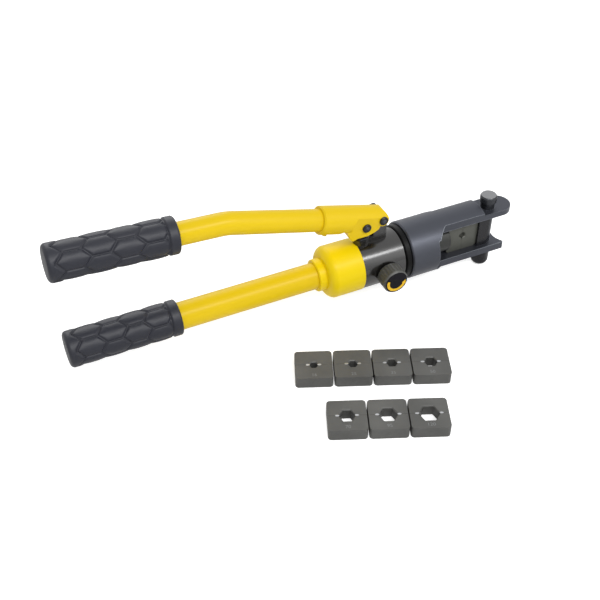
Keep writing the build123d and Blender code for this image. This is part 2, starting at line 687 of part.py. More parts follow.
def round_corner(face, corner, radius):
    """Rounds the corner of a flat face that lies nearest to a point."""
    vertex = face.vertices().sort_by_distance((corner[0], corner[1], 0))[0]
    return fillet(vertex, radius)


def bracket_outline():
    """Side view of the bracket: underside of socket and cheeks, round end, round top corner."""
    end = SOCKET_BACK + BRACKET_END
    low = SOCKET_BELOW - BRACKET_END - 0.4
    points = [(0, -SOCKET_RADIUS), (SOCKET_LENGTH, -SOCKET_RADIUS), *BRACKET_BELLY, (BRACKET_FOOT, low),
              (end, low), (end, SOCKET_RADIUS), (0, SOCKET_RADIUS)]
    outline = make_face(Polyline(*points, close=True))
    outline = round_corner(outline, points[2], 1.5)
    outline = round_corner(outline, points[5], 1.5)
    outline = round_corner(outline, points[11], 5.5)
    return round_corner(outline, points[12], BRACKET_CORNER)


def lever_bracket():
    """Casting: tube socket, rounded back and two cheeks round the plunger's eye and the lug."""
    plane = lever_plane()
    end = SOCKET_BACK + BRACKET_END
    wide = SOCKET_RADIUS + 1
    pin_u = SOCKET_BACK - (FULCRUM[0] - LEVER_PIN[0]) / math.cos(math.radians(LEVER_SLOPE))
    flat = Location((pin_u, -3.0)) * Circle(CHEEK_RUNOUT)
    flat += Location((pin_u, 0)) * Rectangle(end, 2 * CHEEK_DEPTH, align=(Align.MIN, Align.CENTER))
    round_back = along_tube(0, end, SOCKET_RADIUS)
    round_back = chamfer(round_back.edges().filter_by(GeomType.CIRCLE).sort_by(Axis.X)[0], SOCKET_EDGE)
    cheeks = Rectangle(end, 2 * CHEEK_DEPTH, align=(Align.MIN, Align.MAX))
    cheeks = slab(plane, Location((CHEEK_START, 0)) * cheeks, CHEEK_HALF)
    body = (round_back + cheeks) & slab(plane, bracket_outline(), wide)
    body -= slab(plane, flat, wide) - slab(plane, flat, CHEEK_HALF)
    far = end + 5
    cavity = make_face(Polyline((CHEEK_SLOT_START, -CHEEK_DEPTH), (CHEEK_SLOT_START, CHEEK_ROOF),
                                (far, CHEEK_ROOF), (far, -CHEEK_DEPTH), close=True))
    cavity = round_corner(cavity, (CHEEK_SLOT_START, CHEEK_ROOF), 4.0)
    body -= slab(plane, cavity, CHEEK_SLOT)
    body -= along_tube(-1, SOCKET_DEPTH, UPPER_TUBE_RADIUS + SEAT)
    for x, z in (FULCRUM, LEVER_PIN):
        body -= rod_y(-20, 20, LEVER_PIN_RADIUS + SEAT, x, z)
    return body - socket_screw_bar(SCREW_RADIUS + SEAT)


def socket_screw_bar(radius):
    """Bar where the clamp screw passes through the socket's underside."""
    plane = lever_plane()
    up = plane.y_dir
    start = plane.origin + plane.x_dir * (SCREW_BACK - 6) - up * (SOCKET_RADIUS + SCREW_HEAD)
    section = Plane(origin=start, x_dir=(0, 1, 0), z_dir=up)
    return extrude(section * Circle(radius), amount=SOCKET_RADIUS + SCREW_HEAD - UPPER_TUBE_RADIUS - 0.05)


def socket_screw():
    """Clamp screw that holds the tube in its socket."""
    return socket_screw_bar(SCREW_RADIUS)


def tube_points():
    """Bends of the lever tube's axis on the side plane, socket first."""
    rise = math.radians(GRIP_SLOPE)
    plane = lever_plane()
    inner = plane.origin + plane.x_dir * (SOCKET_DEPTH - 0.3)
    bend = plane.origin - plane.x_dir * TUBE_RUN
    onward = Vector(-math.cos(rise), 0, math.sin(rise))
    return inner, bend, onward


def lever_tube():
    """Bent steel tube between the bracket and the upper grip."""
    inner, bend, onward = tube_points()
    outer = bend + onward * (GRIP_RUN - GRIP_END_WALL)
    path = FilletPolyline(inner, bend, outer, radius=TUBE_BEND_RADIUS)
    section = (path ^ 0) * (Circle(UPPER_TUBE_RADIUS) - Circle(UPPER_TUBE_RADIUS - TUBE_WALL))
    return sweep(section, path=path)


def grip(bore, length):
    """Rubber grip with its closed end at the origin and its body towards +X."""
    mouth = length - GRIP_RIM
    pitch = (mouth - GRIP_RIM) / GRIP_RINGS
    points = [(0, 0), (0, GRIP_RADIUS - 4), (1.2, GRIP_RADIUS - 1.2), (4, GRIP_RADIUS)]
    points += [(GRIP_RIM, GRIP_RADIUS)]
    for ring in range(GRIP_RINGS):
        start = GRIP_RIM + ring * pitch
        points += [(start + 0.8, GRIP_BASE), (start + GRIP_GROOVE, GRIP_BASE)]
        points += [(start + GRIP_GROOVE + 1.2, GRIP_RADIUS), (start + pitch - 0.6, GRIP_RADIUS)]
    points += [(mouth + 0.8, GRIP_BASE), (mouth + 1.6, GRIP_BASE), (mouth + 2.2, GRIP_RADIUS - 0.4)]
    points += [(length - 0.8, GRIP_RADIUS - 0.4), (length, GRIP_RADIUS - 1.4)]
    points += [(length, bore), (GRIP_END_WALL, bore), (GRIP_END_WALL, 0)]
    body = turned_x(points)
    for pad in range(GRIP_PADS):
        slot = block((GRIP_RIM + 2, mouth), (-1.4, 1.4), (GRIP_BASE, GRIP_RADIUS + 2))
        body -= Rotation(360 * (pad + 0.5) / GRIP_PADS, 0, 0) * slot
    return body


def lower_grip():
    """Grip on the reservoir tube."""
    return Location((TUBE_REAR - GRIP_END_WALL, 0, 0)) * grip(LOWER_TUBE_RADIUS + SEAT, GRIP_LENGTH)


def upper_grip():
    """Grip on the lever tube."""
    inner, bend, onward = tube_points()
    end = bend + onward * GRIP_RUN
    place = Location((end.X, end.Y, end.Z), (0, GRIP_SLOPE, 0))
    return place * grip(UPPER_TUBE_RADIUS + SEAT, UPPER_GRIP_LENGTH)


def lower_tube():
    """Reservoir tube."""
    body = rod_x(TUBE_REAR, TUBE_FRONT, LOWER_TUBE_RADIUS)
    return body - rod_x(TUBE_REAR - 1, TUBE_FRONT + 1, LOWER_TUBE_RADIUS - TUBE_WALL)


def rear_housing():
    """Bell that joins the reservoir tube to the pump body."""
    front = BODY_REAR
    shoulder = front - HOUSING_LENGTH
    collar = shoulder - HOUSING_SHOULDER
    rear = collar - HOUSING_COLLAR_LENGTH
    inner = HOUSING_RADIUS - HOUSING_WALL
    outline = Polyline((front, SPIGOT_RADIUS + SEAT), (front, HOUSING_RADIUS - 0.6),
                       (front - 0.6, HOUSING_RADIUS), (shoulder, HOUSING_RADIUS))
    bulge = HOUSING_RADIUS - HOUSING_COLLAR_RADIUS
    middle = (shoulder - HOUSING_SHOULDER * 0.72, HOUSING_COLLAR_RADIUS + bulge * 0.66)
    arc = ThreePointArc((shoulder, HOUSING_RADIUS), middle, (collar, HOUSING_COLLAR_RADIUS))
    tail = Polyline((collar, HOUSING_COLLAR_RADIUS), (rear + 0.8, HOUSING_COLLAR_RADIUS),
                    (rear, HOUSING_COLLAR_RADIUS - 0.8), (rear, LOWER_TUBE_RADIUS + SEAT),
                    (TUBE_FRONT + 0.2, LOWER_TUBE_RADIUS + SEAT),
                    (TUBE_FRONT + 0.2, LOWER_TUBE_RADIUS - TUBE_WALL),
                    (collar + 4, LOWER_TUBE_RADIUS - TUBE_WALL), (shoulder + 2, inner - 3),
                    (front - SPIGOT_LENGTH, inner - 3), (front - SPIGOT_LENGTH, SPIGOT_RADIUS + SEAT),
                    (front, SPIGOT_RADIUS + SEAT))
    return revolve(make_face([outline, arc, tail]), Axis.X)


def oil_bladder():
    """Rubber oil bag in the tube, its neck over the pump body's nipple."""
    neck_front = BODY_REAR - SPIGOT_LENGTH - 0.3
    neck_rear = neck_front - BLADDER_NECK_LENGTH
    end = neck_rear - BLADDER_LENGTH
    neck = NIPPLE_RADIUS + SEAT
    wall = BLADDER_WALL
    return turned_x([
        (neck_front, neck), (neck_front, neck + wall), (neck_rear, neck + wall),
        (neck_rear - 5, BLADDER_RADIUS), (end + 6, BLADDER_RADIUS), (end, BLADDER_RADIUS - 5),
        (end, 0), (end + wall, 0),
        (end + wall, BLADDER_RADIUS - 5 - wall / 2), (end + 6, BLADDER_RADIUS - wall),
        (neck_rear - 5, BLADDER_RADIUS - wall), (neck_rear, neck)])


def bladder_clamp():
    """Band that holds the bladder's neck."""
    inner = NIPPLE_RADIUS + SEAT + BLADDER_WALL + SEAT
    middle = BODY_REAR - SPIGOT_LENGTH - NIPPLE_LENGTH / 2
    half = CLAMP_WIDTH / 2
    ring = rod_x(middle - half, middle + half, inner + CLAMP_THICKNESS)
    return ring - rod_x(middle - CLAMP_WIDTH, middle + CLAMP_WIDTH, inner)


def build_parts():
    """Every node of the model by name."""
    parts = {
        "pump_body": pump_body(),
        "rear_housing": rear_housing(),
        "lower_tube": lower_tube(),
        "lower_grip": lower_grip(),
        "oil_bladder": oil_bladder(),
        "bladder_clamp": bladder_clamp(),
        "plunger_gland": plunger_gland(),
        "plunger_seal": plunger_seal(),
        "plunger": plunger(),
        "fulcrum_pin": lever_pin(FULCRUM),
        "fulcrum_clip": lever_clip(FULCRUM),
        "plunger_pin": lever_pin(LEVER_PIN),
        "plunger_pin_clip": lever_clip(LEVER_PIN),
        "lever_bracket": lever_bracket(),
        "lever_tube": lever_tube(),
        "upper_grip": upper_grip(),
        "socket_screw": socket_screw(),
        "swivel_collar": swivel_collar(),
        "swivel_wire": swivel_wire(),
        "swivel_seal": swivel_seal(),
        "spring_anchor": spring_anchor(),
        "crimping_head": crimping_head(),
        "ram": ram(),
        "ram_seal": ram_seal(),
        "return_spring": return_spring(),
        "moving_die": jaw_die(-1),
        "fixed_die": jaw_die(1),
        "moving_die_stud": die_stud(-1),
        "fixed_die_stud": die_stud(1),
        "anvil_saddle": anvil_saddle(),
        "clevis_pin": clevis_pin(),
        "pin_cap": pin_cap(),
    }
    for valve in ("suction", "delivery", "relief"):
        parts.update(valve_parts(valve))
    parts.update(release_parts())
    parts.update(loose_dies())
    return parts


if __name__ == "__main__":
    os.makedirs("parts", exist_ok=True)
    for name, shape in build_parts().items():
        export_step(shape, "parts/%s.step" % name)
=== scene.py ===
import json
import math
from collections import namedtuple

import bmesh
import bpy
import numpy as np
from bpy.props import FloatProperty, FloatVectorProperty, IntProperty, PointerProperty
from bpy.types import Operator, Panel, PropertyGroup
from mathutils import Matrix, Vector


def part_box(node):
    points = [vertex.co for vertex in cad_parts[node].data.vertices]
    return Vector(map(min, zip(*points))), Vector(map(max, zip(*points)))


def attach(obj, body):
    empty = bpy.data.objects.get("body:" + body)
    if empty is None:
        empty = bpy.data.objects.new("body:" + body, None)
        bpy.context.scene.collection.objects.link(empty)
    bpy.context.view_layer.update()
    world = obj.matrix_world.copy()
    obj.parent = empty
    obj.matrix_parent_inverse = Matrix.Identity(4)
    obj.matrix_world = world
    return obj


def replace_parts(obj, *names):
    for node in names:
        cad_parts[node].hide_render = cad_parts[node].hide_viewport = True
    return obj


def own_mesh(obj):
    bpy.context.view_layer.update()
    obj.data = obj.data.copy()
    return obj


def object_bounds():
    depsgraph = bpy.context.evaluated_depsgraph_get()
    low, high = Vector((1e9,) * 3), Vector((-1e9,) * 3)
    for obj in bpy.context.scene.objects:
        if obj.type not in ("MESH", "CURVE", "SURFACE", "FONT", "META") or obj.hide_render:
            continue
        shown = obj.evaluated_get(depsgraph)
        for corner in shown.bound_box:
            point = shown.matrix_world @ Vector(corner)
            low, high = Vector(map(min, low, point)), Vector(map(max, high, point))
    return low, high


bl_info = {
    "name": "Hydraulic crimper",
    "version": (1, 0, 0),
    "blender": (4, 5, 0),
    "location": "View3D > Sidebar > Crimper",
    "description": "Finishes, grips, die figures and stage for a hand hydraulic crimper",
    "category": "Object",
}

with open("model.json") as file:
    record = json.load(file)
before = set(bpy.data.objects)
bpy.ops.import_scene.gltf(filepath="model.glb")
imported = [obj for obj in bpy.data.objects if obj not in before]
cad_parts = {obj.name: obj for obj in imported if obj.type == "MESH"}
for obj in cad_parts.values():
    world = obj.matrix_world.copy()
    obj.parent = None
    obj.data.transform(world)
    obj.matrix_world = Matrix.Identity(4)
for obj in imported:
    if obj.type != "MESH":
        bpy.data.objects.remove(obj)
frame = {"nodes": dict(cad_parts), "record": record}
CAD_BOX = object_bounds()
MM = 0.001
WHITE = (1, 1, 1, 1)

# The record's material slot of each CAD node.
SLOT_OF = {part["node"]: part["material_slot"] for part in frame["record"]["subparts"]}

# Conductor sizes of the loose dies, and the first and last pair of their longer row.
CONDUCTORS = (16, 25, 35, 50, 70, 95, 120)
ROW_START = 16
ROW_END = 50


# Settings

def colour(name, description, value):
    """Colour property in linear light."""
    return FloatVectorProperty(name=name, description=description, default=value,
                               subtype="COLOR", min=0, max=1)


def length(name, description, value):
    """Length property, its default given in millimetres."""
    return FloatProperty(name=name, description=description, default=value * MM,
                         unit="LENGTH", precision=5)


def degrees(name, description, value):
    """Angle property, its default given in degrees."""
    return FloatProperty(name=name, description=description, default=math.radians(value), subtype="ANGLE")


def place(name, description, value):
    """Point property in metres."""
    return FloatVectorProperty(name=name, description=description, default=value,
                               subtype="XYZ", unit="LENGTH")


def power(name, description, value):
    """Power property in watts."""
    return FloatProperty(name=name, description=description, default=value, unit="POWER")


def share(name, description, value):
    """Number property between 0 and 1."""
    return FloatProperty(name=name, description=description, default=value, min=0, max=1)


class CrimperFinishes(PropertyGroup):
    """Colours of the tool's finishes, and of its painted highlights, reflection and shade."""

    enamel: colour("Enamel", "Yellow enamel of the tubes, bracket and screw", (0.76, 0.53, 0.006))
    lemon: colour("Lemon enamel", "Brighter enamel of the housing", (0.86, 0.635, 0.002))
    head: colour("Head", "Blue-grey finish of the crimping head", (0.062, 0.066, 0.080))
    # Painted highlight: a paler line along the head's sharp edges, standing in for rounded edges catching
    # the light.
    edge: colour("Head edges", "Painted highlights along the head's edges", (0.165, 0.178, 0.200))
    body: colour("Pump body", "Warm gloss black of the pump body", (0.0055, 0.0050, 0.0044))
    collar: colour("Collar", "Deep black of the swivel collar", (0.002, 0.002, 0.002))
    rubber: colour("Grip rubber", "Blue-black rubber of the grips", (0.011, 0.012, 0.019))
    die: colour("Loose dies", "Black oxide of the loose dies", (0.056, 0.056, 0.053))
    # Olive-grey of the jaw dies, painted lighter to offset the shade that the head casts on them.
    jaw: colour("Jaw dies", "Olive-grey steel of the dies in the head, painted lighter for the head's shade", (0.105, 0.108, 0.092))
    steel: colour("Bright steel", "Ground steel of the springs, balls, studs and wire", (0.55, 0.56, 0.58))
    dark: colour("Dark steel", "Dark steel of the plunger, gland, clips and plugs", (0.060, 0.063, 0.074))
    blued: colour("Blued steel", "Near-black steel of the saddle, lever pins and cap", (0.010, 0.010, 0.012))
    pin: colour("Pin", "Dark ground steel of the head's pin", (0.036, 0.038, 0.043))
    # The ram's nose is dark partly as its own steel and partly as painted shade inside the head's bore.
    piston: colour("Piston", "Dark steel of the ram's nose, darkened as painted shade of the bore", (0.030, 0.031, 0.029))
    knob: colour("Knob", "Grey side of the release knob", (0.060, 0.060, 0.054))
    face: colour("Knob face", "Black face of the release knob", (0.004, 0.003, 0.006))
    arrow: colour("Arrow", "Golden arrow on the release knob", (0.84, 0.50, 0.012))
    # Painted highlight: bright places at the corners of the loose dies' nests, standing in for the nests'
    # chamfers catching the light.
    worn: colour("Painted glint steel", "Painted highlights at the corners of the loose dies' nests", (0.4125, 0.4200, 0.4350))
    # Painted reflection: the pin's pale top stands in for the sky reflected on it.
    top: colour("Pin top", "Painted reflection on the top of the head's pin", (0.2310, 0.2352, 0.2436))
    figure: colour("Figures", "Size figures on the loose dies", (0.2090, 0.2128, 0.2204))
    peel: share("Paint relief", "Strength of the enamel's fine ripple", 0.12)


class CrimperGrips(PropertyGroup):
    """Sizes of the two rubber grips."""

    radius: length("Radius", "Outside radius over the pads", 17.5)
    relief: length("Pad height", "Height of the pads over the grooves", 1.1)
    groove: length("Groove", "Half the width of the grooves between the pads", 1.5)
    crown: length("Crown", "How much higher a pad's middle stands than its edge", 0.9)
    end_cap: length("End cap", "Length of the plain closed end", 10.5)
    collar: length("Collar", "Length of the plain collar at the open end", 10.0)
    end_round: length("End rounding", "Radius of the closed end's edge", 4.0)
    mouth_round: length("Mouth rounding", "Radius of the open end's edge", 2.2)
    end_wall: length("End wall", "Rubber over the tube's end", 4.0)
    lever_length: length("Lever grip length", "Length of the grip on the lever", 116.0)
    slope: degrees("Lever grip slope", "Rise of the lever's grip to its end", 3.1)
    rings: IntProperty(name="Rings", description="Rings of pads along a grip", default=4, min=1)
    pads: IntProperty(name="Pads", description="Pads round a grip", default=6, min=3)


class CrimperMarks(PropertyGroup):
    """Figures and painted highlights on the dies, domes on the pins, painted highlights along the head's
    edges, and faces.
    """

    figure: length("Figure height", "Height of the size figures on the dies", 5.2)
    figure_depth: length("Figure depth", "Thickness of the figures, half of it above the dies' tops", 0.06)
    figure_back: length("Figure place", "From the parting line to the middle of a figure", 13.6)
    # The bright places are painted highlights at the corners of the nests.
    glint: length("Painted glint", "Half the length of the bright place at each corner of a nest", 1.9)
    glint_lift: length("Painted glint relief", "How far the bright place stands out", 0.05)
    glint_gap: length("Painted glint inset", "From a nest's corner to the middle of the bright place", 1.5)
    glint_shape: share("Painted glint shape", "Width of the bright place as a share of its length", 0.55)
    plug: length("Plug radius", "Radius of the plug that closes a loose die's stud hole", 2.3)
    plug_lift: length("Plug height", "How far the plug stands out of the die's front", 0.12)
    die_half: length("Die depth", "From the parting line to a loose die's front", 18.05)
    dome: length("Dome radius", "Radius of the domed centre of a lever pin", 2.4)
    dome_lift: length("Dome height", "Height of the domed centre", 0.6)
    # Painted highlight lines along the head's sharp edges.
    edge_line: length("Edge line", "Radius of the painted highlight line along a sharp edge of the head", 0.40)
    edge_sink: length("Edge line depth", "How far the line's centre lies inside the edge", 0.52)
    edge_angle: degrees("Edge angle", "Least angle of an edge that gets a painted highlight", 38)
    face_rim: length("Knob rim", "Width of the rim round the knob's face and the pin's top", 1.1)
    face_lift: length("Knob face", "Thickness of the knob's black face", 0.12)


class CrimperStage(PropertyGroup):
    """Camera, floor and lamps."""

    camera: place("Camera", "Place of the camera", (-0.4842, -0.6487, 0.6104))
    target: place("Target", "Point that the camera looks at", (-0.1841, 0.0, -0.0265))
    lens: FloatProperty(name="Lens", description="Focal length in millimetres", default=57.0, min=1)
    floor: FloatProperty(name="Floor", description="Width of the floor", default=9.0, unit="LENGTH")
    floor_tone: share("Floor tone", "How pale the floor is", 0.88)
    floor_glow: share("Floor glow", "Light that only the camera sees from the floor", 0.55)
    sky: share("Sky", "Strength of the even light from all round", 0.42)
    key: power("Key lamp", "Power of the long key lamp", 14.0)
    fill: power("Fill lamp", "Power of the fill lamp", 5.0)
    rim: power("Rear lamp", "Power of the rear lamp", 10.0)


# Finishes

# Detail of the slow and the fine noise, scale of the slow one, height of the fine ripple.
SLOW_DETAIL = 3.0
FINE_DETAIL = 2.0
DRIFT_SCALE = 30.0
RIPPLE_HEIGHT = 0.1 * MM

# Sockets that a Mix node uses for colours.
MIX_A = 6
MIX_B = 7
MIX_RESULT = 2

# Materials by finish, filled by the first operator.
FINISHES = {}

# Nodes whose finish differs from the one of their slot.
OWN_FINISH = {
    "rear_housing": "lemon",
    # The ram's dark finish is partly painted shade of the head's bore.
    "ram": "piston",
    "anvil_saddle": "blued",
    "swivel_collar": "collar",
    "clevis_pin": "pin",
    "pin_cap": "blued",
    # The jaw dies' finish is painted lighter to offset the head's shade.
    "moving_die": "jaw_steel",
    "fixed_die": "jaw_steel",
    "fulcrum_pin": "blued",
    "plunger_pin": "blued",
}

# One finish: its key, name and colour, the factor that gives its worn colour, how metallic it is, its
# span of roughness, the scale of its grain, its relief, how much the worn colour shows, and its gloss.
Finish = namedtuple("Finish", "key name base worn metallic rough grain relief drift gloss")


def new_tree(name, kind, sockets):
    """Empty node tree with named sockets, and its input and output nodes."""
    tree = bpy.data.node_groups.new(name, kind)
    for socket, way, socket_kind in sockets:
        tree.interface.new_socket(name=socket, in_out=way, socket_type=socket_kind)
    return tree, tree.nodes.new("NodeGroupInput"), tree.nodes.new("NodeGroupOutput")


def life_group():
    """Shared effect: slow colour drift, fine grain in the roughness and a height for a bump."""
    name = "Surface life"
    if name in bpy.data.node_groups:
        return bpy.data.node_groups[name]
    group, start, end = new_tree(name, "ShaderNodeTree", (
        ("Colour", "INPUT", "NodeSocketColor"),
        ("Worn colour", "INPUT", "NodeSocketColor"),
        ("Drift", "INPUT", "NodeSocketFloat"),
        ("Drift scale", "INPUT", "NodeSocketFloat"),
        ("Grain scale", "INPUT", "NodeSocketFloat"),
        ("Roughness low", "INPUT", "NodeSocketFloat"),
        ("Roughness high", "INPUT", "NodeSocketFloat"),
        ("Colour", "OUTPUT", "NodeSocketColor"),
        ("Roughness", "OUTPUT", "NodeSocketFloat"),
        ("Height", "OUTPUT", "NodeSocketFloat"),
    ))
    nodes, links = group.nodes, group.links
    spot = nodes.new("ShaderNodeTexCoord")
    slow, fine = nodes.new("ShaderNodeTexNoise"), nodes.new("ShaderNodeTexNoise")
    for noise, scale, detail in ((slow, "Drift scale", SLOW_DETAIL), (fine, "Grain scale", FINE_DETAIL)):
        links.new(spot.outputs["Object"], noise.inputs["Vector"])
        links.new(start.outputs[scale], noise.inputs["Scale"])
        noise.inputs["Detail"].default_value = detail
    amount = nodes.new("ShaderNodeMath")
    amount.operation = "MULTIPLY"
    links.new(slow.outputs["Fac"], amount.inputs[0])
    links.new(start.outputs["Drift"], amount.inputs[1])
    blend = nodes.new("ShaderNodeMix")
    blend.data_type = "RGBA"
    links.new(amount.outputs[0], blend.inputs["Factor"])
    links.new(start.outputs["Colour"], blend.inputs[MIX_A])
    links.new(start.outputs["Worn colour"], blend.inputs[MIX_B])
    rough = nodes.new("ShaderNodeMapRange")
    links.new(fine.outputs["Fac"], rough.inputs["Value"])
    links.new(start.outputs["Roughness low"], rough.inputs["To Min"])
    links.new(start.outputs["Roughness high"], rough.inputs["To Max"])
    links.new(blend.outputs[MIX_RESULT], end.inputs["Colour"])
    links.new(rough.outputs["Result"], end.inputs["Roughness"])
    links.new(fine.outputs["Fac"], end.inputs["Height"])
    return group


def shade(base, factor):
    """A colour made lighter or darker, kept within range."""
    return tuple(min(1.0, channel * factor) for channel in base)


def finish_material(finish):
    """Material of one finish, its colour and roughness varied by the shared effect."""
    material = bpy.data.materials.new(finish.name)
    material.use_nodes = True
    nodes, links = material.node_tree.nodes, material.node_tree.links
    shader = nodes["Principled BSDF"]
    shader.inputs["Metallic"].default_value = finish.metallic
    shader.inputs["Specular IOR Level"].default_value = finish.gloss
    life = nodes.new("ShaderNodeGroup")
    life.node_tree = life_group()
    values = {
        "Colour": (*finish.base, 1),
        "Worn colour": (*shade(finish.base, finish.worn), 1),
        "Drift": finish.drift,
        "Drift scale": DRIFT_SCALE,
        "Grain scale": finish.grain,
        "Roughness low": finish.rough[0],
        "Roughness high": finish.rough[1],
    }
    for socket, value in values.items():
        life.inputs[socket].default_value = value
    links.new(life.outputs["Colour"], shader.inputs["Base Color"])
    links.new(life.outputs["Roughness"], shader.inputs["Roughness"])
    if finish.relief:
        bump = nodes.new("ShaderNodeBump")
        bump.inputs["Strength"].default_value = finish.relief
        bump.inputs["Distance"].default_value = RIPPLE_HEIGHT
        links.new(life.outputs["Height"], bump.inputs["Height"])
        links.new(bump.outputs["Normal"], shader.inputs["Normal"])
    return material


def make_finishes(look):
    """Every finish by the record's slot name, and those that single pieces use."""
    rows = (
        ("yellow_enamel", "Yellow enamel", look.enamel, 0.92, 0.0, (0.28, 0.38), 900, look.peel, 0.5, 0.2),
        ("lemon", "Lemon enamel", look.lemon, 0.94, 0.0, (0.30, 0.40), 900, look.peel, 0.5, 0.2),
        ("head_enamel", "Head finish", look.head, 1.35, 0.75, (0.30, 0.42), 1800, 0.2, 0.5, 0.5),
        # Painted highlight along the head's sharp edges.
        ("head_edge", "Head edge", look.edge, 1.3, 0.6, (0.32, 0.42), 1800, 0.0, 0.5, 0.5),
        ("black_steel", "Gloss black steel", look.body, 1.8, 0.0, (0.16, 0.23), 1200, 0.04, 0.5, 0.95),
        ("grip_rubber", "Grip rubber", look.rubber, 1.6, 0.0, (0.40, 0.52), 1500, 0.15, 0.5, 0.42),
        ("die_steel", "Black oxide", look.die, 2.5, 0.15, (0.38, 0.52), 2200, 0.2, 0.9, 0.45),
        # Olive-grey, painted lighter to offset the head's shade.
        ("jaw_steel", "Jaw die", look.jaw, 0.6, 0.3, (0.34, 0.46), 2200, 0.1, 0.8, 0.45),
        ("bright_steel", "Bright steel", look.steel, 0.8, 1.0, (0.22, 0.34), 1600, 0.08, 0.4, 0.5),
        ("dark_steel", "Dark steel", look.dark, 1.5, 0.7, (0.26, 0.38), 1600, 0.1, 0.4, 0.5),
        ("seal_rubber", "Seal rubber", look.rubber, 1.3, 0.0, (0.5, 0.6), 1500, 0.0, 0.4, 0.4),
        ("bladder_rubber", "Bladder rubber", look.rubber, 1.4, 0.0, (0.55, 0.7), 900, 0.0, 0.4, 0.4),
        ("knob_plastic", "Knob side", look.knob, 1.4, 0.0, (0.32, 0.42), 2000, 0.15, 0.4, 0.5),
        ("arrow_yellow", "Arrow gold", look.arrow, 1.15, 0.0, (0.3, 0.4), 1500, 0.0, 0.4, 0.3),
        ("knob_face", "Knob face", look.face, 1.5, 0.0, (0.2, 0.3), 2000, 0.0, 0.4, 0.12),
        ("collar", "Collar black", look.collar, 1.5, 0.0, (0.35, 0.45), 1600, 0.0, 0.4, 0.15),
        ("blued", "Blued steel", look.blued, 1.6, 0.3, (0.22, 0.34), 1600, 0.0, 0.4, 0.4),
        ("pin", "Head pin", look.pin, 1.4, 0.7, (0.20, 0.30), 1600, 0.0, 0.4, 0.5),
        # Dark steel of the ram's nose, with painted shade of the bore.
        ("piston", "Ram nose", look.piston, 1.5, 0.3, (0.34, 0.46), 1600, 0.0, 0.6, 0.4),
        # Painted highlight at the corners of the loose dies' nests.
        ("worn", "Worn edge", look.worn, 1.3, 0.9, (0.3, 0.42), 1800, 0.05, 0.4, 0.5),
        # Painted reflection of the sky on the pin's top.
        ("pin_top", "Pin top", look.top, 1.2, 0.6, (0.3, 0.42), 1600, 0.05, 0.4, 0.5),
        ("figure", "Cut figure", look.figure, 0.7, 0.3, (0.4, 0.5), 1800, 0.0, 0.4, 0.5),
    )
    return {row[0]: finish_material(Finish(*row)) for row in rows}


# Helpers for every piece

def put(name, mesh, body, slot, finish=None):
    """Links a mesh as a piece that rides on a body, with its finish, or its slot's finish when none is
    given.
    """
    mesh.materials.clear()
    mesh.materials.append(FINISHES[finish or slot])
    piece = bpy.data.objects.new(name, mesh)
    bpy.context.scene.collection.objects.link(piece)
    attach(piece, body)
    return piece


def middle(*nodes):
    """Centre of the box round some CAD nodes."""
    lows, highs = zip(*(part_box(node) for node in nodes))
    low = Vector([min(corner[i] for corner in lows) for i in range(3)])
    high = Vector([max(corner[i] for corner in highs) for i in range(3)])
    return (low + high) / 2


def joined(node, reach):
    """Working copy of a CAD node's mesh, its loose triangles joined at points closer than reach."""
    work = bmesh.new()
    work.from_mesh(frame["nodes"][node].data)
    bmesh.ops.remove_doubles(work, verts=work.verts, dist=reach)
    return work


def to_mesh(name, work):
    """Mesh of a working copy, which is freed."""
    mesh = bpy.data.meshes.new(name)
    work.to_mesh(mesh)
    work.free()
    return mesh


def evaluated_mesh(holder):
    """Plain mesh of an object as its curve or its modifiers make it."""
    graph = bpy.context.evaluated_depsgraph_get()
    return bpy.data.meshes.new_from_object(holder.evaluated_get(graph), depsgraph=graph)


# Rubber grips

# Rings of points along a grip's skin and in its two rounded edges, and points round it.
SKIN_RINGS = 190
END_RINGS = 10
MOUTH_RINGS = 6
SKIN_POINTS = 168

# Angles at which the first ring of each rounded edge lies, in radians.
END_START = 0.15
MOUTH_START = 0.2

# In half widths of a groove: the distance from any groove that the plain closed end counts as, and
# the distance over which a pad rises from its edge to its middle.
NO_GROOVE = 10
CROWN_REACH = 5


def rings_to_mesh(name, rings, first_pole, last_pole):
    """Closed skin through rings of points, with a pole at each end."""
    count, points_round = rings.shape[0], rings.shape[1]
    points = [tuple(point) for point in rings.reshape(-1, 3)] + [tuple(first_pole), tuple(last_pole)]
    pole = count * points_round
    last_ring = (count - 1) * points_round
    faces = []
    for j in range(points_round):
        k = (j + 1) % points_round
        faces.append((pole, k, j))
        faces.append((pole + 1, last_ring + j, last_ring + k))
        for ring in range(0, last_ring, points_round):
            beyond = ring + points_round
            faces.append((ring + j, ring + k, beyond + k, beyond + j))
    mesh = bpy.data.meshes.new(name)
    mesh.from_pydata(points, [], faces)
    work = bmesh.new()
    work.from_mesh(mesh)
    bmesh.ops.recalc_face_normals(work, faces=work.faces)
    work.to_mesh(mesh)
    work.free()
    mesh.shade_smooth()
    return mesh


